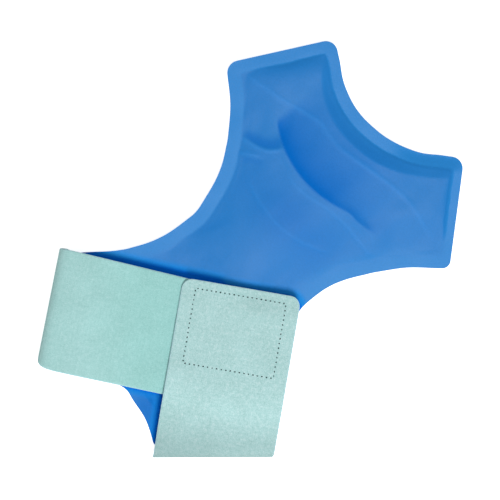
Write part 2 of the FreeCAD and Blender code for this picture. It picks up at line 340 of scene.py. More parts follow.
def notch_rise(inset, pos):
    """Between the wings: a straight bevel up to a crest, then an almost level plateau."""
    width = window(pos, ((0, 5.5), (0.2, 7.4), (0.4, 9.4), (0.65, 9.4), (0.85, 7.2), (1, 6.6)))
    bevel = window(pos, ((0, 0.42), (0.45, 0.37), (0.68, 0.33), (0.84, 0.24), (1, 0.22)))
    plateau = window(pos, ((0, 0.16), (0.20, 0.12), (0.36, 0.03), (1, 0.03)))
    inset = np.clip(inset, 0, None)
    return bevel * np.minimum(inset, width) + plateau * np.clip(inset - width, 0, None)


def side_rise(side, inset, pos):
    """Height above the flange at a distance inside the weld of one side."""
    if side == NOTCH_SIDE:
        return notch_rise(inset, pos)
    if side == RIGHT_END:       # a narrow ledge that fades out towards the waist
        ledge = window(pos, ((0, 0.5), (0.12, 1.1), (0.5, 1.0), (0.78, 0.15), (1, 0.05)))
        return ledge_rise(inset, ledge, reach=0.6, slope=0.075)
    if side == LEFT_END:        # the ledge grows towards the notch
        ledge = window(pos, ((0, 0.8), (0.4, 1.3), (0.75, 1.8), (1, 2.0)))
        return ledge_rise(inset, ledge, reach=6.5, slope=0.035)
    if side == RIGHT_WAIST:     # no ledge
        d = np.clip(inset + 4.0, 0, None)
        return 0.15 * d * d / (d + 9.0)
    if side == LEFT_WAIST:      # nearly level by the arm, an even slope by the wing
        ledge = window(pos, ((0, 0.5), (0.3, 0.5), (0.55, 0.5), (1, 0.4)))
        reach = window(pos, ((0, 6.0), (0.3, 6.0), (0.55, 3.5), (1, 2.5)))
        slope = window(pos, ((0, 0.0), (0.28, 0.01), (0.5, 0.11), (1, 0.12)))
        return ledge_rise(inset, ledge, reach, slope)
    return ledge_rise(inset, ledge=2.5, reach=4.0, slope=0.2)


def soft_edge(xy):
    """1 where the pouch rolls down to its edge without a visible weld line."""
    right, right_pos = line_dist(xy, SIDES[RIGHT_WAIST])
    left, left_pos = line_dist(xy, SIDES[LEFT_WAIST])
    right_keys = ((0, 0.5), (0.03, 0.8), (0.10, 1), (1, 1))
    left_keys = ((0, 1), (0.22, 0.9), (0.48, 0), (1, 0))
    return np.maximum(window(right_pos, right_keys) * (1 - ease(right, 16, 6)),
                      window(left_pos, left_keys) * (1 - ease(left, 16, 6)))


def droop(xy):
    """How far the flange hangs down, by the right wing's side of the notch."""
    dist, pos = line_dist(xy, SIDES[NOTCH_SIDE])
    keys = ((0.0, 0.0), (0.60, 0.0), (0.78, 1.0), (0.93, 1.0), (1.0, 0.35))
    return 2.1 * window(pos, keys) * (1 - ease(dist, 0, FLANGE + 2.0))


# ------------------------------------------------------------------ folds of the front film
# Lines in the view frame: right, up
# crescent from the root of the left wing to the root of the right wing
CREST = [(17.639, 98.604), (18.294, 88.124), (20.914, 76.989), (24.189, 69.129),
         (29.429, 59.959), (36.634, 50.789), (45.149, 42.929), (54.974, 36.379),
         (64.799, 31.139), (70.039, 25.899), (75.934, 21.314), (81.174, 17.384)]
# tent ridge from the left wing's end to the right wing
TENT = [(-3.321, 123.494), (4.539, 116.944), (12.399, 111.704), (21.569, 105.154),
        (36.634, 96.639), (46.459, 90.089), (52.354, 81.574), (58.904, 73.714),
        (69.384, 65.854), (80.519, 57.994), (93.619, 48.169), (104.754, 37.689),
        (113.924, 23.279), (122.439, 8.214)]
# wedge that runs in from the left waist, and the crease just below it
WEDGE = [(-11.181, 83.539), (-3.976, 80.264), (1.919, 76.334), (8.469, 73.059),
         (15.019, 72.076), (24.189, 73.059)]
CREASE = [(-12.491, 71.094), (-5.941, 70.439), (1.919, 69.456), (12.399, 67.164)]
# hollow beside the inner strap, with painted shade in it
HOLLOW = [(-42.621, 10.834), (-30.176, 16.729), (-17.731, 20.659), (-3.321, 25.244)]
# band of painted shade across the middle
MIDDLE = [(-5.941, 55.374), (53.009, -0.956)]
# thin ridges that run with the crescent: line, height, strength of the painted highlight
THIN_RIDGES = [
    ([(22.879, 61.924), (28.774, 50.789), (35.324, 44.239), (43.184, 38.999),
      (51.044, 33.759), (58.249, 27.864), (64.799, 21.314), (70.039, 14.764),
      (76.589, 6.904), (83.794, -0.956)], 0.15, 0.42),
    ([(-2.011, 59.304), (1.919, 47.514), (8.469, 36.379), (15.674, 26.554),
      (23.534, 19.349), (33.359, 12.799), (43.839, 8.214), (55.629, 4.284)], 0.12, 0.32)]
# middle of the shaded place at the lower notch
SHADE_CENTRE = (-64.891, -100.516)


class Folds:
    """Height changes of the film, and where shade and highlights are painted on it."""

    def __init__(self, xy):
        self.view = to_view(xy)
        self.height, self.painted_shade, self.painted_highlight = np.zeros((3, len(xy)))

    def paint_shade(self, amount):
        self.painted_shade = np.maximum(self.painted_shade, amount)

    def paint_highlight(self, amount):
        self.painted_highlight = np.maximum(self.painted_highlight, amount)

    def crescent(self):
        """The step at the crest. Returns how much of the dome is left at each point."""
        dist, pos = chord(self.view, CREST)
        reach = window(pos, ((0.05, 8.515), (0.25, 14.41), (0.55, 13.1), (0.74, 4.9125),
                             (1, 3.275)))
        past = 0.5 * (dist + np.sqrt(dist ** 2 + 1.441 ** 2))
        left = np.exp(-past / reach)
        dip = window(pos, ((-0.14, 0), (0.13, 1), (0.45, 0.75), (0.66, 0.35), (0.9, 0.9),
                           (1.03, 0)))
        self.height -= 1.35 * dip * (1 - left) * bell(past, 40.61)
        lip = window(pos, ((0.1, 0), (0.3, 1), (0.9, 1), (1.0, 0)))
        self.height += 0.22 * lip * bell(dist, 3.275)
        # shade in three parts: wide, close to the crest, and what lies between
        dark = window(pos, ((0.03, 0), (0.09, 0.9), (0.15, 1.0), (0.62, 1), (0.78, 0.8),
                            (0.93, 0.6), (1.05, 0)))
        wide = window(pos, ((0.03, 0), (0.09, 0.9), (0.15, 1.0), (0.60, 1), (0.78, 0.5),
                            (0.95, 0.3), (1.12, 0)))
        wide_reach = window(pos, ((0.05, 17.03), (0.25, 28.82), (0.55, 32.75), (0.8, 28.82),
                                  (1, 15.72)))
        shade = (wide * 0.92 * bell(past, wide_reach, 1.5)
                 + dark * 0.24 * bell(past, 0.5 * reach)
                 + (dark - wide) * bell(past, reach, 1.5))
        self.paint_shade(ease(dist, -0.655, 1.834) * np.clip(shade, 0, 1.1))
        return left

    def wedge(self):
        """A sunken wedge with painted shade, above a raised edge with a painted highlight."""
        dist, pos = chord(self.view, WEDGE)
        past = np.clip(dist, 0, None)
        depth = window(pos, ((0, 0.15), (0.22, 0.35), (0.5, 0.9), (0.8, 0.9), (1.02, 0)))
        tint = window(pos, ((0, 0.9), (0.5, 1), (0.8, 0.9), (1.02, 0)))
        width = window(pos, ((0, 2.62), (0.5, 6.55), (1, 7.86)))
        self.height -= 0.95 * depth * (1 - bell(past, width, 1.2)) * bell(past, 22.27)
        self.height += 0.22 * depth * bell(dist, 1.703)
        band = ease(dist, 0.3275, 1.6375) * (1 - ease(past, 0.6 * width, width))
        self.paint_shade(0.6 * tint * band)
        self.paint_highlight(0.6 * tint * bell(dist + 0.655, 1.048))

    def crease(self):
        """A raised crease with a painted highlight, and a shallow dip with painted shade to the
        right of travel.
        """
        dist, pos = chord(self.view, CREASE)
        amount = window(pos, ((0, 0.8), (0.5, 1), (1, 0)))
        past = np.clip(-dist, 0, None)
        self.height += 0.16 * amount * bell(dist, 1.441)
        self.height -= 0.25 * amount * (1 - bell(past, 2.62)) * bell(dist, 11.79)
        self.paint_highlight(0.5 * amount * bell(dist, 0.9825))
        shaded = window(pos, ((0.2, 0), (0.4, 1), (0.8, 1), (1, 0)))
        self.paint_shade(0.25 * shaded * ease(-dist, 0.9825, 1.965) * (1 - ease(-dist, 3.93, 4.585)))

    def hollow(self):
        dist, pos = chord(self.view, HOLLOW)
        amount = window(pos, ((0, 0.1), (0.3, 1), (0.7, 0.7), (1, 0)))
        past = np.clip(dist, 0, None)
        self.height -= 0.25 * amount * (1 - bell(past, 5.24)) * bell(dist, 17.03)
        # painted shade in the hollow
        self.paint_shade(0.10 * amount * ease(dist, 0, 3.275) * (1 - ease(dist, 4.585, 9.17)))

    def lower_notch(self):
        """Shade between the straps. Returns where it may reach onto the weld."""
        dist = np.hypot(*(self.view - np.array(SHADE_CENTRE)).T)
        self.paint_shade(0.75 * bell(dist, 19.65, 3))
        return dist < 28.82

    def middle(self):
        dist, pos = chord(self.view, MIDDLE)
        amount = window(pos, ((-0.2, 0), (0.15, 0.4), (0.5, 1), (0.8, 0.7), (1.15, 0)))
        # painted shade across the middle
        self.paint_shade(0.42 * amount * bell(dist - 2.62, 19.65))

    def ridge(self, line, keys, height, width, painted_highlight, highlight_width):
        dist, pos = chord(self.view, line)
        amount = window(pos, keys)
        self.height += height * amount * bell(dist, width)
        self.paint_highlight(painted_highlight * amount * bell(dist, highlight_width))


# ------------------------------------------------------------------ pouch near the straps
STRAP_MARGIN = 0.8      # the covered strip is this much wider each way, and shifted by as much


def strap_coords(xy, end):
    """Plan position along and across a strap, from the middle of its fold."""
    offset = xy - np.array(end["mid"])
    run = unit(end["run"])
    return offset @ run, offset @ np.array([-run[1], run[0]])


def press_under_straps(xy, inset, top):
    """The front film pressed up against the straps, but not into them."""
    under = np.zeros(len(xy), bool)
    for end in (INNER, OUTER):
        along, across = strap_coords(xy, end)
        past_tip = along - RUN_LEN
        past_side = np.abs(across - STRAP_MARGIN) - end["width"] / 2 - STRAP_MARGIN
        corner = np.hypot(np.clip(past_tip, 0, None), np.clip(past_side, 0, None))
        outside = np.where((past_tip > 0) & (past_side > 0), corner,
                           np.maximum(past_tip, past_side))
        rest = (7.1 * (1 - ease(outside, -8.8, 10.0))
                * (1 - np.exp(-np.clip(inset, 0, None) / 4.5)) * ease(along, 2.0, 10.0))
        top = np.where(rest > 0.05, np.maximum(top, WELD_Z + FILM + rest), top)
        under |= ((along > -5) & (along < RUN_LEN + 6)
                  & (np.abs(across) < end["width"] / 2 + 5))
    return np.where(under, np.minimum(top, TOP_Z - 0.25), top)


def strap_shade(xy):
    """Painted shadow close to the straps, the painted highlight band outside it, and where the
    painted shadow takes the shine off the film.
    """
    gap = np.full(len(xy), 99.0)
    deep = np.full(len(xy), -99.0)
    painted_strap_shadow, painted_shine_shadow = np.zeros((2, len(xy)))
    corner = 8      # radius of the shaded corners
    for end in (INNER, OUTER):
        along, across = strap_coords(xy, end)
        across = np.abs(across - STRAP_MARGIN)
        half = end["width"] / 2 + STRAP_MARGIN
        deep = np.maximum(deep, np.minimum(np.minimum(RUN_LEN - along, half - across), along))
        reach = np.hypot(np.clip(along - RUN_LEN + corner, 0, None),
                         np.clip(across - half + corner, 0, None)) - corner
        reach = np.clip(reach, 0, None) + 50.0 * (along < -3)   # none behind the fold
        gap = np.minimum(gap, reach)
        # the painted shadow of the outer strap's tip is a narrow band, that of the other edges a
        # wider one
        narrow = ease(along, RUN_LEN - 6.0, 5.0) if end is OUTER else 0.0
        painted_strap_shadow = np.maximum(painted_strap_shadow, 1 - ease(reach, 0.4 - 0.4 * narrow, 2.8 - 1.6 * narrow))
        # painted shadow in the film's shine, a little wider
        painted_shine_shadow = np.maximum(painted_shine_shadow, 1 - ease(reach, 2.6, 4.5))
    visible = 1 - ease(deep, 2.0, 4.0)
    # a painted highlight band just outside the straps
    glow = ease(gap, 0, 2.0) * (1 - ease(gap, 3.5, 3.5))
    return painted_strap_shadow * visible, glow, painted_shine_shadow * visible


# ------------------------------------------------------------------ heights of the pouch
def relief(xy):
    """Height of the front film's upper face, its colouring attributes, and the distance
    inside the outline."""
    edge_dist, _ = line_dist(xy, closed(OUTLINE))
    # the weld's inner edge wanders a little
    wander = 0.35 * smooth_noise(*xy.T, size=15.0, seed=14)
    soft = soft_edge(xy)
    inset = edge_dist - min(WELD_WIDTHS) + wander
    rises = []
    for side, line in enumerate(SIDES):
        dist, pos = line_dist(xy, line)
        dist = dist + wander - WELD_WIDTHS[side]
        inset = np.minimum(inset, dist)
        rises.append(side_rise(side, dist, pos))

    # a soft dome over the plain sides, and a lower plateau behind the notch bevel;
    # the crescent is the step between them
    body = soft_min([rises[RIGHT_WAIST], rises[LEFT_WAIST]], sharpness=0.45) + 0.7
    dome = soft_min([np.full(len(xy), 7.9), body] + rises[:0:-1], sharpness=1.2)
    low = soft_min([dome + 0.12, rises[NOTCH_SIDE]], sharpness=3.5)
    folds = Folds(xy)
    z = low + np.clip(dome - low, 0, None) * folds.crescent()
    z = np.clip(z, 0, None) * (ease(inset, -0.2, 1.2) * (1 - soft) + ease(inset, -5.0, 6.0) * soft)

    folds.wedge()
    folds.crease()
    folds.hollow()
    on_weld = folds.lower_notch()
    folds.middle()
    # raised ridges, each with a painted highlight along it
    for line, height, painted_highlight in THIN_RIDGES:
        folds.ridge(line, keys=((0, 0), (0.2, 1), (0.85, 1), (1, 0)),
                    height=height, width=1.703, painted_highlight=painted_highlight, highlight_width=1.1135)
    folds.ridge(TENT, keys=((0, 0.2), (0.06, 1), (0.3, 0.9), (0.45, 0.6), (0.6, 1),
                            (0.85, 0.9), (1, 0.1)),
                height=0.14, width=1.572, painted_highlight=0.5, highlight_width=1.31)
    folds.height += 0.14 * smooth_noise(*xy.T, size=26.0, seed=3)
    folds.height += 0.06 * smooth_noise(*xy.T, size=11.0, seed=4)
    inner = ease(inset, 0, 5.0)
    z += folds.height * inner
    # a flange that is not perfectly flat, with a tiny groove where the weld starts
    z += (1 - ease(inset, 0, 2.0)) * 0.08 * smooth_noise(*xy.T, size=18.0, seed=9)
    z -= 0.05 * bell(inset + 0.4, 0.8) * (1 - soft)
    z -= droop(xy)
    top = press_under_straps(xy, inset, WELD_Z + FILM + z)

    painted_strap_shadow, glow, painted_shine_shadow = strap_shade(xy)
    # colouring: the flange mask, and the painted shade, highlights and strap shadows
    flange = (1 - ease(inset, -0.3, 1.5)) * (1 - soft) + (1 - ease(inset, -5.0, 14.0)) * soft
    looks = {"flange": flange, "painted_shade": folds.painted_shade * np.maximum(inner, on_weld),
             "painted_highlight": folds.painted_highlight * ease(inset, 0, 3.0), "painted_strap_shadow": painted_strap_shadow, "glow": glow, "painted_shine_shadow": painted_shine_shadow}
    return top, looks, edge_dist


def back_height(xy):
    """Height of the back film's lower face, and its flange mask."""
    edge_dist, _ = line_dist(xy, closed(OUTLINE))
    inset = edge_dist - FLANGE
    z = (WELD_Z - FILM) * (1 - ease(inset, 0, 6.5))
    waves = np.clip(smooth_noise(*xy.T, size=14.0, seed=21), -1, 1)
    z += ease(inset, 0, 9) * (0.12 + 0.12 * waves)
    z -= droop(xy) * (1 - ease(inset, 0, 2.0))
    return np.clip(z, 0.0, None), 1 - ease(inset, -0.3, 1.5)


# ------------------------------------------------------------------ flat triangulations
# step: grid spacing; ring_step: spacing on the edge loops; depths: their places inside the
# outline, close together where the weld bends
FINE = dict(step=1.25, ring_step=1.2,
            depths=(0.45, 1.3, FLANGE - 0.9, FLANGE - 0.2, FLANGE + 0.6, FLANGE + 1.5))
COARSE = dict(step=2.4, ring_step=2.4, depths=(FLANGE - 0.3, FLANGE + 1.0))


def offset_loop(depth):
    """Points at a depth inside the outline, left out where they would crowd a corner."""
    t = np.roll(OUTLINE, -1, 0) - np.roll(OUTLINE, 1, 0)
    t /= np.linalg.norm(t, axis=1)[:, None]
    loop = OUTLINE + np.c_[t[:, 1], -t[:, 0]] * depth
    dist, _ = line_dist(loop, closed(OUTLINE))
    return loop[dist > depth - 0.05]


def thin_out(points, gap):
    kept = []
    for p in points:
        if not kept or np.hypot(*(p - kept[-1])) > gap:
            kept.append(p)
    return np.array(kept)


def cut_lines(step):
    """The lines where the pouch is divided into its four pieces."""
    lines = [np.array([(-60.0, CUT_WAIST), (60.0, CUT_WAIST)])]
    for wing in (RIGHT_WING, LEFT_WING):
        t = np.array([-wing[1], wing[0]])
        lines.append(np.array([wing * CUT_WING - t * 52, wing * CUT_WING + t * 52]))
    return [resample(line, step) for line in lines]


def compact(faces, count):
    """The points that the faces use, and the faces renumbered to them."""
    used = np.unique(faces)
    number = np.full(count, -1)
    number[used] = np.arange(len(used))
    return used, number[faces]


def triangulate(step, ring_step, depths):
    outline = resample(closed(OUTLINE), EDGE_STEP)[:-1]
    lo, hi = OUTLINE.min(0) - 2, OUTLINE.max(0) + 2
    rows = []
    for r, y in enumerate(np.arange(lo[1], hi[1], step * math.sqrt(3) / 2)):
        xs = np.arange(lo[0] + (r % 2) * step / 2, hi[0], step)
        rows.append(np.c_[xs, np.full(len(xs), y)])
    grid = np.vstack(rows)
    grid = grid[inside(grid, outline)]
    # the grid keeps clear of the outline, the edge loops and the cuts
    dist, _ = line_dist(grid, closed(outline))
    keep = dist > 0.6 * step
    for depth in depths:
        keep &= np.abs(dist - depth) > 0.42 * step
    cuts = cut_lines(step)
    for line in cuts:
        keep &= line_dist(grid, line)[0] > 0.5 * step
    rings = []
    for depth in depths:
        ring = offset_loop(depth)
        clear = np.ones(len(ring), bool)
        for line in cuts:
            clear &= line_dist(ring, line)[0] > 0.35 * step
        rings.append(thin_out(ring[clear], 0.8 * ring_step))
    edges = [(i, (i + 1) % len(outline)) for i in range(len(outline))]
    base = len(outline)
    for line in cuts:
        edges += [(base + i, base + i + 1) for i in range(len(line) - 1)]
        base += len(line)
    points = np.vstack([outline] + cuts + rings + [grid[keep]])
    v, _, f, *_ = delaunay_2d_cdt([Vector(p) for p in points], edges, [], 0, 1e-4)
    v = np.array([tuple(p) for p in v])
    f = np.array(f)
    f = f[inside(v[f].mean(1), outline)]
    # every face counter-clockwise
    a, b, c = v[f[:, 0]], v[f[:, 1]], v[f[:, 2]]
    area = (b[:, 0] - a[:, 0]) * (c[:, 1] - a[:, 1]) - (b[:, 1] - a[:, 1]) * (c[:, 0] - a[:, 0])
    f[area < 0] = f[area < 0][:, ::-1]
    f = f[np.abs(area) > 1e-6]
    used, f = compact(f, len(v))
    return v[used], f


REGIONS = ["lower", "middle", "left_wing", "right_wing"]
CAD_REGIONS = ["lower", "upper", "left_wing", "right_wing"]


def region(centres):
    """Index into REGIONS for each face centre."""
    r = np.zeros(len(centres), int)
    upper = centres[:, 1] > CUT_WAIST
    r[upper] = 1
    r[(centres @ LEFT_WING > CUT_WING) & upper] = 2
    r[(centres @ RIGHT_WING > CUT_WING) & upper] = 3
    return r


# ------------------------------------------------------------------ mesh helpers
def make_object(name, verts, faces, mat, smooth=True):
    """An object from points in mm."""
    me = bpy.data.meshes.new(name)
    verts = np.asarray(verts, float) * MM
    me.from_pydata([tuple(v) for v in verts], [], [tuple(int(i) for i in f) for f in faces])
    me.validate(clean_customdata=False)
    me.update()
    ob = bpy.data.objects.new(name, me)
    bpy.context.scene.collection.objects.link(ob)
    if smooth:
        me.polygons.foreach_set("use_smooth", [True] * len(me.polygons))
    me.materials.append(mat)
    return ob


def add_rest(ob, coords=None):
    """Texture coordinates kept with each point, so that textures don't slide when a piece
    bends: the rest position, or the coordinates given."""
    if coords is None:
        coords = np.array([v.co for v in ob.data.vertices], float)
    at = ob.data.attributes.new("rest", "FLOAT_VECTOR", "POINT")
    at.data.foreach_set("vector", np.asarray(coords, np.float32).ravel())


def add_float(ob, name, values):
    at = ob.data.attributes.new(name, "FLOAT", "POINT")
    at.data.foreach_set("value", np.asarray(values, np.float32))


def normalised(v):
    return v / np.linalg.norm(v, axis=-1)[..., None]


def vertex_normals(v, f):
    n = np.zeros_like(v)
    face_n = np.cross(v[f[:, 1]] - v[f[:, 0]], v[f[:, 2]] - v[f[:, 0]])
    for k in range(3):
        np.add.at(n, f[:, k], face_n)
    return n / (np.linalg.norm(n, axis=1)[:, None] + 1e-12)


def rim_edges(f, count):
    """Edges that belong to one face only."""
    edges = np.vstack([f[:, [0, 1]], f[:, [1, 2]], f[:, [2, 0]]])
    key = np.sort(edges, 1)
    _, index, uses = np.unique(key[:, 0] * count + key[:, 1],
                               return_index=True, return_counts=True)
    return edges[index[uses == 1]]


def ride_region(ob, r):
    if r == 0:
        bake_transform(ob)
    elif r == 1:
        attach(ob, "upper_half")
    else:
        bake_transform(ob)


def pouch_layer(prefix, cad_prefix, xy, f, top, bottom, mat, looks):
    """Closed shells between two heights, one per region, with normals shared across cuts."""
    face_region = region(xy[f].mean(1))
    upper, lower = np.c_[xy, top], np.c_[xy, bottom]
    upper_n, lower_n = vertex_normals(upper, f), vertex_normals(lower, f[:, ::-1])
    made = []
    for r, name in enumerate(REGIONS):
        used, g = compact(f[face_region == r], len(xy))
        n = len(used)
        faces = [tuple(x) for x in g] + [tuple(x + n) for x in g[:, ::-1]]
        faces += [(b, a, a + n, b + n) for a, b in rim_edges(g, n)]
        ob = make_object("%s_%s" % (prefix, name), np.vstack([upper[used], lower[used]]),
                         faces, mat)
        point_n = np.vstack([upper_n[used], lower_n[used]])
        normals = []
        for p in ob.data.polygons:
            if len(p.vertices) == 3:
                normals += [tuple(point_n[i]) for i in p.vertices]
            else:
                normals += [tuple(p.normal)] * 4
        ob.data.normals_split_custom_set(normals)
        add_rest(ob)
        for key, values in looks.items():
            add_float(ob, key, np.r_[values[used], values[used]])
        made.append(ob)
    for r, ob in enumerate(made):
        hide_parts(cad_prefix + "_" + CAD_REGIONS[r])
        ride_region(ob, r)


# ------------------------------------------------------------------ material helpers
def srgb(code):
    channels = [int(code[i:i + 2], 16) / 255 for i in (1, 3, 5)]
    return tuple(c / 12.92 if c <= 0.04045 else ((c + 0.055) / 1.055) ** 2.4 for c in channels)


class Shader:
    """A material with one Principled surface. Values may be numbers, colours or sockets."""

    def __init__(self, name):
        self.mat = bpy.data.materials.new(name)
        self.mat.use_nodes = True
        self.tree = self.mat.node_tree
        self.tree.nodes.clear()
        out = self.node("ShaderNodeOutputMaterial")
        self.bsdf = self.node("ShaderNodeBsdfPrincipled")
        self.feed(out.inputs[0], self.bsdf.outputs[0])

    def node(self, kind, **settings):
        n = self.tree.nodes.new(kind)
        for key, value in settings.items():
            setattr(n, key, value)
        return n

    def feed(self, socket, value):
        if isinstance(value, bpy.types.NodeSocket):
            self.tree.links.new(value, socket)
        else:
            socket.default_value = (*value, 1) if isinstance(value, tuple) else value

    def surface(self, **values):
        """Principled inputs, with underscores for the spaces in their names."""
        for key, value in values.items():
            self.feed(self.bsdf.inputs[key.replace("_", " ")], value)

    def attribute(self, name, output="Fac"):
        n = self.node("ShaderNodeAttribute", attribute_name=name, attribute_type="GEOMETRY")
        return n.outputs[output]

    def rest_coords(self):
        at = self.attribute("rest", "Vector")
        mapping = self.node("ShaderNodeMapping")
        self.feed(mapping.inputs["Vector"], at)
        return mapping.outputs["Vector"]

    def noise(self, vector, scale, detail=2.0, rough=0.5):
        n = self.node("ShaderNodeTexNoise", noise_dimensions="3D")
        self.feed(n.inputs["Scale"], scale)
        self.feed(n.inputs["Detail"], detail)
        self.feed(n.inputs["Roughness"], rough)
        self.feed(n.inputs["Vector"], vector)
        return n.outputs["Fac"]

    def ramp(self, fac, stops):
        """Colour ramp with stops of (position, colour)."""
        n = self.node("ShaderNodeValToRGB")
        el = n.color_ramp.elements
        for e, (position, color) in ((el[0], stops[0]), (el[1], stops[-1])):
            e.position, e.color = position, (*color, 1)
        for position, color in stops[1:-1]:
            el.new(position).color = (*color, 1)
        self.feed(n.inputs["Fac"], fac)
        return n.outputs["Color"]

    def mix(self, fac, a, b, mode="MIX"):
        n = self.node("ShaderNodeMix", data_type="RGBA", blend_type=mode)
        # the factor and the two colour inputs
        for index, value in ((0, fac), (6, a), (7, b)):
            self.feed(n.inputs[index], value)
        return n.outputs[2]

    def math(self, operation, *values):
        n = self.node("ShaderNodeMath", operation=operation)
        for socket, value in zip(n.inputs, values):
            self.feed(socket, value)
        return n.outputs[0]

    def bump(self, height, strength, distance, normal=None):
        n = self.node("ShaderNodeBump")
        self.feed(n.inputs["Strength"], strength)
        self.feed(n.inputs["Distance"], distance)
        self.feed(n.inputs["Height"], height)
        if normal is not None:
            self.feed(n.inputs["Normal"], normal)
        return n.outputs["Normal"]


# ------------------------------------------------------------------ materials
STRAP_SHADOW = (0.001, 0.155, 0.720)    # film in the shade of the straps
EDGE_HIGHLIGHT = (0.50, 0.76, 0.88)           # painted highlight along the strap's cut edges


def film_material(name, panel, flange, dark, deep):
    """Glossy film, tinted by the attributes of the relief, which carry painted shade and highlights.
    """
    s = Shader(name)
    v = s.rest_coords()
    on_flange = s.attribute("flange")
    mottle = s.ramp(s.noise(v, scale=28.0, detail=3.0, rough=0.55), [(0.30, dark), (0.66, panel)])
    col = s.mix(on_flange, s.mix(0.35, panel, mottle), flange)
    # painted shade: the colour goes towards deep
    painted_shade = s.attribute("painted_shade")
    col = s.mix(s.math("MULTIPLY", painted_shade, 0.9), col, deep)
    # painted highlights along the creases and ridges
    col = s.mix(s.attribute("painted_highlight"), col, tuple(c * 1.16 + 0.006 for c in panel))
    # a painted highlight band round the straps, and their painted shadow
    painted_strap_shadow = s.attribute("painted_strap_shadow")
    glow = s.attribute("glow")
    col = s.mix(s.math("MULTIPLY", glow, 0.45), col, tuple(c * 1.34 for c in panel))
    col = s.mix(painted_strap_shadow, col, STRAP_SHADOW)
    fine = s.ramp(s.noise(v, scale=900.0, detail=2.0, rough=0.6),
                  [(0.35, (0.93,) * 3), (0.65, (1.05,) * 3)])
    col = s.mix(0.6, col, fine, "MULTIPLY")
    # roughness 0.31 to 0.41
    rough = s.math("ADD", s.math("MULTIPLY", s.noise(v, scale=60.0), 0.10), 0.31)
    # less shine where shade is painted and in the painted shadow by the straps
    shine = s.math("SUBTRACT", 0.5, s.math("MULTIPLY", painted_shade, 0.44))
    painted_shine_shadow = s.attribute("painted_shine_shadow")
    shine = s.math("MULTIPLY", shine, s.math("SUBTRACT", 1.0, painted_shine_shadow))
    grain = s.bump(s.noise(v, scale=1500.0, detail=3.0, rough=0.6),
                   strength=0.25, distance=0.00005)
    ripple = s.bump(s.noise(v, scale=130.0), strength=0.35, distance=0.00025, normal=grain)
    s.surface(Base_Color=col, Roughness=rough, Specular_IOR_Level=shine, Normal=ripple)
    return s.mat


def fabric_material(name, low, mid, high, nap, tone):
    """Brushed loop elastic: pale flecks of nap, faint knit courses, soft sheen."""
    s = Shader(name)
    v = s.rest_coords()
    fine = s.noise(v, scale=1250.0, detail=3.0, rough=0.75)
    medium = s.noise(v, scale=420.0, detail=3.0, rough=0.65)
    large = s.noise(v, scale=45.0, detail=3.0, rough=0.55)
    flecks = s.ramp(fine, [(0.30, low), (0.50, mid), (0.72, high)])
    tufts = s.ramp(medium, [(0.30, low), (0.5, mid), (0.74, high)])
    col = s.mix(0.4, flecks, tufts)
    blotches = s.ramp(large, [(0.30, (0.93, 0.945, 0.94)), (0.70, (1.05, 1.045, 1.05))])
    col = s.mix(0.8, col, blotches, "MULTIPLY")
    # knit courses across the strap and ribs along it, pitches in metres
    axes = s.node("ShaderNodeSeparateXYZ")
    s.feed(axes.inputs[0], v)
    wobble = s.math("MULTIPLY", medium, 0.0012)

    def wave(axis, pitch):
        place = s.math("ADD", axes.outputs[axis], wobble)
        return s.math("SINE", s.math("MULTIPLY", place, 2 * math.pi / pitch))

    course = wave("X", pitch=0.0021)
    rib = wave("Y", pitch=0.0013)
    knit = s.math("ADD", s.math("MULTIPLY", course, 0.5), s.math("MULTIPLY", rib, 0.5))
    knit_fac = s.math("ADD", s.math("MULTIPLY", knit, 0.045), 0.5)
    knit_col = s.ramp(knit_fac, [(0.44, (0.965,) * 3), (0.56, (1.03,) * 3)])
    col = s.mix(0.8, col, knit_col, "MULTIPLY")
    # painted shade along the strap, strongest round the fold, and a painted highlight along the cut
    # edges
    shade, toned, edge = (s.attribute(key) for key in ("shade", "tone", "edge"))
    col = s.mix(toned, col, s.mix(1.0, col, tone, "MULTIPLY"))
    col = s.mix(shade, col, s.mix(1.0, col, (0.0, 0.0, 0.0)))
    col = s.mix(edge, col, EDGE_HIGHLIGHT)
    height = s.math("ADD", s.math("MULTIPLY", fine, 0.8 * nap),
                    s.math("MULTIPLY", medium, 0.6 * nap))
    height = s.math("ADD", height, s.math("MULTIPLY", knit, 0.10))
    s.surface(Base_Color=col, Roughness=0.93, Specular_IOR_Level=0.12, Sheen_Weight=0.22,
              Sheen_Roughness=0.6, Sheen_Tint=(0.85, 1.0, 1.0),
              Normal=s.bump(height, strength=0.75, distance=0.00035))
    return s.mat


def thread_material(name, dark, light):
    s = Shader(name)
    v = s.rest_coords()
    twist = s.node("ShaderNodeTexWave", wave_type="BANDS", bands_direction="DIAGONAL")
    s.feed(twist.inputs["Scale"], 900.0)
    s.feed(twist.inputs["Distortion"], 1.5)
    s.feed(twist.inputs["Vector"], v)
    ply = twist.outputs["Fac"]
    s.surface(Base_Color=s.ramp(ply, [(0.2, dark), (0.8, light)]), Roughness=0.7,
              Sheen_Weight=0.2, Normal=s.bump(ply, strength=0.5, distance=0.0001))
    return s.mat


def hook_material(name, dark, light):
    s = Shader(name)
    v = s.rest_coords()
    col = s.ramp(s.noise(v, scale=700.0, detail=3.0, rough=0.6), [(0.3, dark), (0.7, light)])
    grain = s.bump(s.noise(v, scale=2500.0), strength=0.4, distance=0.0001)
    s.surface(Base_Color=col, Roughness=0.42, Normal=grain)
    return s.mat


def gel_material(name, dark, light):
    s = Shader(name)
    v = s.rest_coords()
    col = s.ramp(s.noise(v, scale=60.0, detail=4.0, rough=0.6), [(0.3, dark), (0.7, light)])
    lumps = s.bump(s.noise(v, scale=90.0, detail=3.0), strength=0.3, distance=0.0008)
    s.surface(Base_Color=col, Roughness=0.18, Transmission_Weight=0.15, Normal=lumps)
    return s.mat


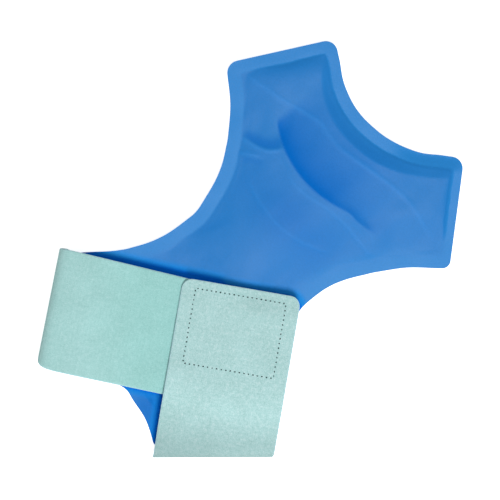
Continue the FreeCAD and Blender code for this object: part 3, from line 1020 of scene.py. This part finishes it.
# deep: the colour of the painted shade
M_FILM = film_material("blue_film", panel=(0.012, 0.206, 0.592), flange=(0.016, 0.236, 0.640),
                       dark=(0.010, 0.195, 0.575), deep=(0.002, 0.140, 0.545))
M_BACK = film_material("blue_film_back", panel=(0.012, 0.205, 0.590),
                       flange=(0.016, 0.230, 0.630), dark=(0.010, 0.19, 0.565),
                       deep=(0.004, 0.165, 0.56))
M_STRAP_OUTER = fabric_material("mint_loop_outer", low=srgb("#99c4c0"), mid=srgb("#b2d9d8"),
                                high=srgb("#dff2f3"), nap=1.0, tone=(0.9, 1.0, 0.99))
M_STRAP_INNER = fabric_material("mint_loop_inner", low=srgb("#98c6c3"), mid=srgb("#a7d5d2"),
                                high=srgb("#c4e6e6"), nap=0.6, tone=(0.88, 0.985, 0.965))
M_THREAD = thread_material("stitch_thread", dark=srgb("#1d3638"), light=srgb("#3a5859"))
M_ROOT = thread_material("root_thread", dark=srgb("#6fa7c0"), light=srgb("#a9d6dc"))
M_HOOK = hook_material("hook_tape", dark=srgb("#7fb9b4"), light=srgb("#b7deda"))
M_GEL = gel_material("cooling_gel", dark=srgb("#1b5fae"), light=srgb("#2f7fd0"))


# ------------------------------------------------------------------ pouch
def build_pouch():
    xy, f = triangulate(**FINE)
    top, looks, _ = relief(xy)
    pouch_layer("front_skin", "front_film", xy, f, top, top - FILM, M_FILM, looks)

    xy, f = triangulate(**COARSE)
    back, flange = back_height(xy)
    pouch_layer("back_skin", "back_film", xy, f, back + FILM, back, M_BACK,
                {"flange": flange})

    # gel between the films, inside the weld
    front, _, edge_dist = relief(xy)
    used, f = compact(f[(edge_dist[f] > FLANGE + 1.2).all(1)], len(xy))
    gel_bottom = back[used] + FILM + 0.25
    gel_top = np.maximum(front[used] - FILM - 0.45, gel_bottom + 0.3)
    pouch_layer("gel", "gel_fill", xy[used], f, gel_top, gel_bottom, M_GEL, {})


build_pouch()


# ------------------------------------------------------------------ strap surface
class Strap:
    """A strap sewn under its arm, looped round the arm's end and laid over the front.

    Its coordinates are 'along' from the fold's apex and 'across' from its middle line.
    loop_top: middle height at the top of the loop; stations: (distance square to the fold,
    middle height) beyond it; widen, shift: changes across; seed: for its waves;
    draw_in: for the +across and -across edges, (depth, reach along, power) at the fold."""

    def __init__(self, end, loop_top, stations, seed, widen, shift, draw_in):
        self.end, self.seed, self.shift, self.draw_in = end, seed, shift, draw_in
        angle = fold_angle(end)
        self.angle = math.radians(angle)
        skew = math.radians(end["run"] - angle)
        self.skew_cos, self.skew_sin = math.cos(skew), math.sin(skew)
        self.width = end["width"] * abs(self.skew_cos) + widen
        # side profile: under the arm towards the fold, half an ellipse, then the run
        apex = (end["z"] + STRAP_T - STRAP_BOTTOM) / 2
        z_low = STRAP_BOTTOM + STRAP_T / 2
        radius_x, radius_z = apex - STRAP_T / 2, (loop_top - z_low) / 2
        t = np.linspace(-math.pi / 2, math.pi / 2, 80)[1:-1]
        under = np.arange(40.0, apex + 0.4, -0.5)
        over = np.arange(apex + 0.5, 130.0, 0.5)
        run = catmull([(apex, loop_top)] + stations, 0.25)
        x = np.r_[under, apex - radius_x * np.cos(t), apex, over]
        z = np.r_[np.full(len(under), z_low), z_low + radius_z + radius_z * np.sin(t), loop_top,
                  np.interp(over, run[:, 0], run[:, 1])]
        for _ in range(30):     # evens out the joins
            z[1:-1] = 0.5 * z[1:-1] + 0.25 * (z[:-2] + z[2:])
        length = np.r_[0, np.cumsum(np.hypot(np.diff(x), np.diff(z)))]
        first = np.argmin(x)
        self.profile_q, self.profile_x, self.profile_z = length - length[first], x, z
        # the tip lands at RUN_LEN in plan
        tip_q = np.interp(RUN_LEN * self.skew_cos, x[first:], self.profile_q[first:])
        self.length = tip_q / self.skew_cos + 0.3 * (end is OUTER)
        sewn_x = end["trim"] + FLANGE - 0.8
        self.sewn_q = np.interp(-sewn_x, -x[:first + 1], self.profile_q[:first + 1])

    def sewn_start(self, across):
        """'Along' of the sewn end, which is parallel to the fold."""
        return (self.sewn_q + across * self.skew_sin) / self.skew_cos

    def point(self, along, across, off=0.0):
        """Position in mm, off the middle surface by off."""
        a, b = np.asarray(along, float), np.asarray(across, float)
        half = self.width / 2
        placed = b
        # near the fold the edges are drawn in
        for sign, (depth, reach, power) in zip((1, -1), self.draw_in):
            placed = placed - sign * depth * bell(np.abs(a), reach, power) * ease(
                sign * b / half, 0.35, 0.65)
        if self.end is INNER:
            # it narrows a little towards its tip, and more under the other strap
            narrowing = 2.7 * np.clip(a / 90.0, 0, 1) + 1.0 * ease(a, 90.0, 8.0)
            placed = placed - narrowing * ease(placed / half)
        # drawn in under the arm, where it is sewn down
        sewn = ease(-a, 6.0, 12.0)
        placed = (placed + self.shift) * (1 - 0.10 * sewn) - 2.2 * sewn * (self.end is OUTER)
        q = a * self.skew_cos - placed * self.skew_sin
        y = a * self.skew_sin + placed * self.skew_cos

        def profile(at):
            return (np.interp(at, self.profile_q, self.profile_x),
                    np.interp(at, self.profile_q, self.profile_z))

        x, z = profile(q)
        (x1, z1), (x0, z0) = profile(q + 0.05), profile(q - 0.05)
        tx, tz = x1 - x0, z1 - z0
        size = np.hypot(tx, tz)
        # past the loop it is wavy, and its edges hang a little
        waves = (0.16 * smooth_noise(a, b, size=19.0, seed=self.seed)
                 + 0.06 * smooth_noise(a, b, size=8.0, seed=self.seed + 1))
        sag = -0.21 * np.abs(b / half) ** 4
        out = off + ease(q, 6, 14.0) * (waves + sag)
        x, z = x - tz / size * out, z + tx / size * out
        c, s = math.cos(self.angle), math.sin(self.angle)
        world_x = self.end["mid"][0] + x * c - y * s
        world_y = self.end["mid"][1] + x * s + y * c
        if self.end is OUTER:
            # beyond the end of the inner strap nothing holds the tip up, and it sags
            inner_along, _ = strap_coords(np.stack([world_x, world_y], -1), INNER)
            z = z - 2.2 * ease(a, self.length - 17.0, 16.0) * ease(
                inner_along, RUN_LEN - 7.0, 30.0)
        return np.stack([world_x, world_y, z], -1)


OUTER_STRAP = Strap(
    OUTER, loop_top=14.55, seed=31, widen=2.1, shift=1.0, draw_in=((0.4, 16.0, 2), (0.4, 5.0, 2)),
    stations=[(14, 14.9), (22, 15.6), (32, 16.5), (42, 16.75), (54, 16.35), (66, 15.95),
              (80, 15.75), (100, 15.7), (118, 15.65), (131, 15.65)])
INNER_STRAP = Strap(
    INNER, loop_top=12.2, seed=41, widen=2.2, shift=0.7, draw_in=((0.5, 6.0, 2), (4.6, 5.5, 1.3)),
    stations=[(12, 12.6), (20, 13.2), (28, 13.55), (40, 13.2), (54, 12.9), (70, 12.85),
              (100, 12.85), (131, 12.85)])
# stretch of the outer strap over which its end starts to peel off
PEEL_START = OUTER_STRAP.length - (RUN_LEN - 42.0)
PEEL_END = OUTER_STRAP.length - (RUN_LEN - 54.0)


# ------------------------------------------------------------------ strap meshes
STRAP_COLUMNS = 56
STRAP_STEP = 1.15
TIP_RADIUS = 7.0        # rounded corners of the tip
# Thickness, and outward lean of the normals, at the last three lines of points to an edge
EDGE_THICKNESS = (0.30, 0.72, 0.94)
EDGE_LEAN = (1.3, 0.6, 0.15)


def strap_grid(strap, start, end, tip):
    """Grid of strap coordinates, from start(across) to end along the strap."""
    half = strap.width / 2
    edge = np.array([1 - 0.9 / half, 1 - 0.35 / half])
    columns = np.linspace(-1, 1, STRAP_COLUMNS)
    columns = np.unique(np.round(np.r_[columns, edge, -edge], 6))
    length = end - start(0.0)
    rows = np.linspace(0, 1, int(math.ceil(length / STRAP_STEP)) + 1)
    if tip:
        tail = 1 - np.array([0.3, 0.8, 1.5, 2.4, 3.5, 4.8, 6.2]) / length
        rows = np.unique(np.round(np.r_[rows[rows < 1 - 7.4 / length], tail, 1.0], 7))
    along, across = np.zeros((2, len(rows), len(columns)))
    for i, t in enumerate(rows):
        row_half = half
        left = (1 - t) * length
        if tip and left < TIP_RADIUS:
            chord_sq = TIP_RADIUS ** 2 - (TIP_RADIUS - left) ** 2
            row_half = half - TIP_RADIUS + math.sqrt(max(chord_sq, 0.0))
        across[i] = columns * row_half
        along[i] = start(across[i]) + t * (end - start(across[i]))
    return along, across


def slab_faces(rows, columns):
    """Faces of a closed slab: an upper grid of points, then a lower one."""
    n = rows * columns
    faces = []
    for i in range(rows - 1):
        for j in range(columns - 1):
            a, d = i * columns + j, (i + 1) * columns + j
            faces.append((a, d, d + 1, a + 1))
            faces.append((a + n, a + 1 + n, d + 1 + n, d + n))
    for i in range(rows - 1):
        a, d = i * columns, (i + 1) * columns
        faces.append((a, a + n, d + n, d))
        a, d = a + columns - 1, d + columns - 1
        faces.append((a, d, d + n, a + n))
    for j in range(columns - 1):
        a, b = j, j + 1
        faces.append((a, b, b + n, a + n))
        a, b = (rows - 1) * columns + j, (rows - 1) * columns + j + 1
        faces.append((a, a + n, b + n, b))
    return faces


def strap_mesh(name, strap, start, end, mat, shade, tone, tip):
    """Closed strap with rounded long edges, and a rounded end edge at the tip."""
    along, across = strap_grid(strap, start, end, tip)
    rows, columns = along.shape
    n = rows * columns
    edge = np.minimum(np.arange(columns), np.arange(columns)[::-1])
    thickness = np.ones((rows, columns))
    for k, f in enumerate(EDGE_THICKNESS):
        thickness[:, edge == k] = np.minimum(thickness[:, edge == k], f)
        if tip:
            thickness[rows - 1 - k] = np.minimum(thickness[rows - 1 - k], f)
    off = STRAP_T / 2 * thickness
    upper, lower = strap.point(along, across, off), strap.point(along, across, -off)
    ob = make_object(name, np.vstack([upper.reshape(-1, 3), lower.reshape(-1, 3)]),
                     slab_faces(rows, columns), mat)

    # normals from the strap surface itself, so that a cut between two pieces doesn't show
    e = 0.4
    dir_along = normalised(strap.point(along + e, across) - strap.point(along - e, across))
    dir_across = normalised(strap.point(along, across + e) - strap.point(along, across - e))
    surface = normalised(np.cross(dir_along, dir_across))
    lean = np.zeros((rows, columns, 3))
    for k, w in enumerate(EDGE_LEAN):
        lean[:, k] -= dir_across[:, k] * w
        lean[:, columns - 1 - k] += dir_across[:, columns - 1 - k] * w
        if tip:
            lean[rows - 1 - k] += dir_along[rows - 1 - k] * w
    point_n = np.vstack([normalised(side + lean).reshape(-1, 3) for side in (surface, -surface)])
    normals = []
    for p in ob.data.polygons:
        verts = list(p.vertices)
        face_rows = {v % n // columns for v in verts}
        cut_face = face_rows == {0} or (face_rows == {rows - 1} and not tip)
        normals += [tuple(p.normal)] * len(verts) if cut_face else [tuple(point_n[v]) for v in verts]
    ob.data.normals_split_custom_set(normals)

    flat = np.stack([along, across, np.zeros_like(along)], -1).reshape(-1, 3) * MM
    rest = np.vstack([flat, flat])
    rest[n:, 2] = 0.003     # keeps the two faces' textures apart
    add_rest(ob, rest)
    # painted shade along the strap
    add_float(ob, "shade", np.tile(shade(along).ravel(), 2))
    add_float(ob, "tone", np.tile(tone(along, across).ravel(), 2))
    # painted highlight along the long edges, and round the tip
    rim = np.zeros((rows, columns))
    rim[:, edge == 0] = 1.0
    rim[:, edge == 1] = 0.5
    if tip:
        rim[-1], rim[-2] = 1.0, np.maximum(rim[-2], 0.5)
    add_float(ob, "edge", 0.5 * np.tile(rim.ravel(), 2))
    return ob


# painted shade along each strap by distance from its fold, strongest at the fold and under the arm
def outer_shade(along):
    return np.interp(along, [-40, -4, 0, 6, 16, 27, 36, 46, 58, 112],
                     [0.30, 0.36, 0.34, 0.26, 0.165, 0.07, 0.0, 0.02, 0.065, 0.07])


def inner_shade(along):
    return np.interp(along, [-40, 0, 5, 11, 20, 60, 112],
                     [0.16, 0.13, 0.09, 0.04, 0.02, 0.035, 0.05])


def outer_tone(along, across):
    return np.full_like(along, 0.15)


def inner_tone(along, across):
    return ease(along + 0.25 * across, 15, 60.0)


def build_straps():
    body = strap_mesh("outer_strap_body", OUTER_STRAP, OUTER_STRAP.sewn_start, PEEL_START,
                      M_STRAP_OUTER, outer_shade, outer_tone, tip=False)
    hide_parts("outer_strap_sewn_end", "outer_strap_fold", "outer_strap_run")
    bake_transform(body)

    tip = strap_mesh("outer_strap_end_piece", OUTER_STRAP, lambda across: PEEL_START,
                     OUTER_STRAP.length, M_STRAP_OUTER, outer_shade, outer_tone, tip=True)
    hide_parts("outer_strap_tip")
    first = OUTER_STRAP.point(PEEL_START, 0.0) * MM
    last = OUTER_STRAP.point(PEEL_END, 0.0) * MM
    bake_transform(tip)

    inner = strap_mesh("inner_strap_body", INNER_STRAP, INNER_STRAP.sewn_start,
                       INNER_STRAP.length, M_STRAP_INNER, inner_shade, inner_tone, tip=True)
    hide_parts("inner_strap_sewn_end", "inner_strap_fold", "inner_strap_run",
                "inner_strap_tip")
    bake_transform(inner)


build_straps()

# ------------------------------------------------------------------ hook patch
PATCH_LENGTH, PATCH_WIDTH, PATCH_CORNER = 53.0, 63.0, 3.0
PATCH_ROWS, PATCH_COLUMNS = 44, 52
PATCH_FROM_TIP = 31.3           # its middle, back from the strap's tip
PATCH_T = 0.45
HOOK_PITCH = 1.75
HOOK_WIDTH, HOOK_HALF_T = 0.26, 0.13
# Bent hook: sideways, height
HOOK_PROFILE = [(0.0, 0.0), (0.0, 0.28), (0.10, 0.44), (0.34, 0.47), (0.44, 0.34)]


def hook_patch(name, strap, mat):
    """A slab with rounded corners under the strap, with rows of small bent hooks."""
    middle = strap.length - PATCH_FROM_TIP
    half_l, half_w = PATCH_LENGTH / 2, PATCH_WIDTH / 2
    along, across = np.meshgrid(np.linspace(-half_l, half_l, PATCH_ROWS),
                                np.linspace(-half_w, half_w, PATCH_COLUMNS), indexing="ij")
    # the corners are rounded by pulling the points of each corner square onto arcs
    core_l, core_w = half_l - PATCH_CORNER, half_w - PATCH_CORNER
    past_l, past_w = np.abs(along) - core_l, np.abs(across) - core_w
    corner = (past_l > 0) & (past_w > 0)
    pull = np.maximum(past_l, past_w)
    size = np.hypot(past_l, past_w) + 1e-9
    along = np.where(corner, np.sign(along) * (core_l + past_l / size * pull), along)
    across = np.where(corner, np.sign(across) * (core_w + past_w / size * pull), across)
    top = -STRAP_T / 2 - 0.05
    verts = [strap.point(along + middle, across, off).reshape(-1, 3)
             for off in (top, top - PATCH_T)]
    rest = [np.stack([along, across, along * 0 + k], -1).reshape(-1, 3) for k in (0, 1)]
    faces = slab_faces(PATCH_ROWS, PATCH_COLUMNS)

    hooks = []      # along, across, height
    base = 2 * PATCH_ROWS * PATCH_COLUMNS
    for i, x in enumerate(np.arange(-half_l + 1.6, half_l - 1.5, HOOK_PITCH)):
        for j, y in enumerate(np.arange(-half_w + 1.6, half_w - 1.5, HOOK_PITCH)):
            facing = 1 if (i + j) % 2 else -1
            y += HOOK_PITCH / 2 if i % 2 else 0
            if y > half_w - 1.5:
                continue
            for side, height in HOOK_PROFILE:
                slim = 1.0 if height < 0.3 else 0.7
                for sx, sy in ((-1, -1), (1, -1), (1, 1), (-1, 1)):
                    hooks.append((x + facing * side + sx * HOOK_HALF_T * slim,
                                  y + sy * HOOK_WIDTH / 2, height))
            for k in range(len(HOOK_PROFILE) - 1):
                for m in range(4):
                    p, q = base + k * 4 + m, base + k * 4 + (m + 1) % 4
                    faces.append((p, q, q + 4, p + 4))
            end = base + (len(HOOK_PROFILE) - 1) * 4
            faces.append((end, end + 1, end + 2, end + 3))
            faces.append((base + 3, base + 2, base + 1, base))
            base += len(HOOK_PROFILE) * 4
    hooks = np.array(hooks)
    # the hooks are sunk a little into the slab
    verts.append(strap.point(middle + hooks[:, 0], hooks[:, 1], top - 0.44 - hooks[:, 2]))
    ob = make_object(name, np.vstack(verts), faces, mat, smooth=False)
    add_rest(ob, np.vstack(rest + [hooks]) * MM)
    return ob


patch = hook_patch("outer_hook_tape", OUTER_STRAP, M_HOOK)
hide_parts("outer_hook_patch")
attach(patch, "outer_strap_end")

# ------------------------------------------------------------------ stitches
BOX_WIDTH, BOX_LENGTH = 59.6, 49.2      # box seam, across and along the strap
BOX_FROM_TIP = 30.2                     # its middle, back from the strap's tip
STITCHES_ACROSS, STITCHES_ALONG = 20, 16
THREAD_SEGMENTS, THREAD_RING = 8, 8
THREAD_R = 0.42


def box_stitches(name, strap, mat):
    """Each stitch is a short rounded thread that dips into the strap at both ends."""
    half_w, half_l = BOX_WIDTH / 2, BOX_LENGTH / 2
    middle = strap.length - BOX_FROM_TIP
    places = []     # along, across, whether the stitch lies across the strap
    for i in range(STITCHES_ACROSS):
        t = -half_w + (i + 0.5) * 2 * half_w / STITCHES_ACROSS
        places += [(middle + s * half_l, t, True) for s in (-1, 1)]
    for i in range(STITCHES_ALONG):
        t = -half_l + (i + 0.5) * 2 * half_l / STITCHES_ALONG
        places += [(middle + t, s * half_w, False) for s in (-1, 1)]
    points, rest, faces = [], [], []
    ring = THREAD_RING
    rng = np.random.default_rng(5)
    for a, b, lies_across in places:
        half = 0.60 + rng.uniform(-0.08, 0.08)
        a += rng.uniform(-0.08, 0.08)
        b += rng.uniform(-0.08, 0.08)
        skew = rng.uniform(-0.09, 0.09)
        tight = rng.uniform(0.78, 1.12)
        base = len(points)
        for i in range(THREAD_SEGMENTS + 1):
            t = -1 + 2 * i / THREAD_SEGMENTS
            r = THREAD_R * tight * math.sqrt(max(1 - (abs(t) ** 3.2), 0.0)) + 0.03
            lift = 0.20 * (1 - t * t) - 0.16
            for j in range(ring):
                turn = 2 * math.pi * j / ring
                side, up = r * math.cos(turn), r * 0.8 * math.sin(turn)
                shift = (side + skew * t, t * half)
                da, db = shift if lies_across else shift[::-1]
                points.append((a + da, b + db, STRAP_T / 2 + lift + up))
                rest.append((t * half, side, up))
        # the winding depends on which way the thread lies
        order = 1 if lies_across else -1
        for i in range(THREAD_SEGMENTS):
            for j in range(ring):
                p, q = base + i * ring + j, base + i * ring + (j + 1) % ring
                if lies_across:
                    faces.append((p, p + ring, q + ring, q))
                else:
                    faces.append((p, q, q + ring, p + ring))
        last = base + THREAD_SEGMENTS * ring
        faces.append(tuple(range(base, base + ring))[::order])
        faces.append(tuple(range(last, last + ring))[::-order])
    along, across, off = np.array(points).T
    ob = make_object(name, strap.point(along, across, off), faces, mat)
    add_rest(ob, np.array(rest) * MM)
    return ob


stitches = box_stitches("outer_box_stitches", OUTER_STRAP, M_THREAD)
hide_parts("outer_patch_stitches")
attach(stitches, "outer_strap_end")
for node_name in ("outer_root_stitches", "inner_root_stitches"):
    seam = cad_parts[node_name]
    seam.data.materials.clear()
    seam.data.materials.append(M_ROOT)

# ------------------------------------------------------------------ floor
FLOOR_HALF, FLOOR_Z = 4000.0, -0.3


def floor_material():
    """White paper that glows more for the camera than for the light it bounces."""
    s = Shader("floor_paper")
    path = s.node("ShaderNodeLightPath")
    glow = s.node("ShaderNodeMapRange")
    s.feed(glow.inputs["To Min"], 0.10)
    s.feed(glow.inputs["To Max"], 0.72)
    s.feed(glow.inputs["Value"], path.outputs["Is Camera Ray"])
    s.surface(Base_Color=(0.93, 0.93, 0.93), Roughness=0.9, Specular_IOR_Level=0.1,
              Emission_Color=(1, 1, 1), Emission_Strength=glow.outputs["Result"])
    return s.mat


floor_corners = [(sx * FLOOR_HALF, sy * FLOOR_HALF, FLOOR_Z)
                 for sx, sy in ((-1, -1), (1, -1), (1, 1), (-1, 1))]
floor = make_object("floor", floor_corners, [(0, 1, 2, 3)], floor_material(), smooth=False)

# ------------------------------------------------------------------ world
scene = bpy.context.scene
scene.view_settings.view_transform = "Standard"
scene.view_settings.look = "None"
scene.view_settings.exposure = 0.0
scene.view_settings.gamma = 1.0


def build_world():
    """Separate backgrounds for lighting, for the camera and for reflections."""
    world = bpy.data.worlds.new("studio")
    scene.world = world
    world.use_nodes = True
    nodes, links = world.node_tree.nodes, world.node_tree.links
    nodes.clear()
    out = nodes.new("ShaderNodeOutputWorld")

    def background(color, strength):
        n = nodes.new("ShaderNodeBackground")
        n.inputs[0].default_value = (*color, 1)
        n.inputs[1].default_value = strength
        return n

    ambient = background((0.96, 0.98, 1.0), strength=0.28)
    seen = background((0.97, 0.97, 0.97), strength=1.0)
    reflected = background((0.9, 0.95, 1.0), strength=0.07)
    glossy_mix = nodes.new("ShaderNodeMixShader")
    camera_mix = nodes.new("ShaderNodeMixShader")
    path = nodes.new("ShaderNodeLightPath")
    for mixer, ray, otherwise, chosen in ((glossy_mix, "Is Glossy Ray", ambient, reflected),
                                          (camera_mix, "Is Camera Ray", glossy_mix, seen)):
        links.new(path.outputs[ray], mixer.inputs[0])
        links.new(otherwise.outputs[0], mixer.inputs[1])
        links.new(chosen.outputs[0], mixer.inputs[2])
    links.new(camera_mix.outputs[0], out.inputs[0])


build_world()

# ------------------------------------------------------------------ lights, in metres
VIEW_UP = Vector((-TURN_SIN, TURN_COS, 0))
VIEW_RIGHT = Vector((TURN_COS, TURN_SIN, 0))


def disk_light(name, direction, distance, size, energy):
    """Disk light that faces the origin from the given direction."""
    light = bpy.data.lights.new(name, "AREA")
    light.shape = "DISK"
    light.size = size
    light.energy = energy
    ob = bpy.data.objects.new(name, light)
    d = direction.normalized()
    ob.location = d * distance
    ob.rotation_mode = "QUATERNION"
    ob.rotation_quaternion = d.to_track_quat("Z", "Y")
    ob.visible_camera = False
    scene.collection.objects.link(ob)
    return ob


key = disk_light("key", Vector((0, 0, 0.89)) - VIEW_UP * 0.42 + VIEW_RIGHT * 0.12,
                 distance=2.2, size=0.75, energy=33.6)
key.visible_glossy = False
disk_light("overhead", Vector((0, 0, 1.0)) - VIEW_UP * 0.07 + VIEW_RIGHT * 0.05,
           distance=2.6, size=1.25, energy=10.0)

# ------------------------------------------------------------------ camera
AIM = (0.41265, 7.2312)         # middle of the picture, in the view frame
AIM_Z = 0.008                   # height of the plane the view is fitted to, in metres
VIEW_HALF = 162.935323          # half the width seen at that height

cam = bpy.data.cameras.new("camera")
cam.lens = 200.0
cam.sensor_width = 36.0
cam.clip_start, cam.clip_end = 0.05, 50.0
camera = bpy.data.objects.new("camera", cam)
aim_x, aim_y = from_view(*AIM)
camera.location = (aim_x * MM, aim_y * MM,
                   AIM_Z + VIEW_HALF * MM / (cam.sensor_width / 2 / cam.lens))
camera.rotation_euler = (0, 0, math.atan2(TURN_SIN, TURN_COS))
scene.collection.objects.link(camera)
scene.camera = camera

bpy.context.view_layer.update()
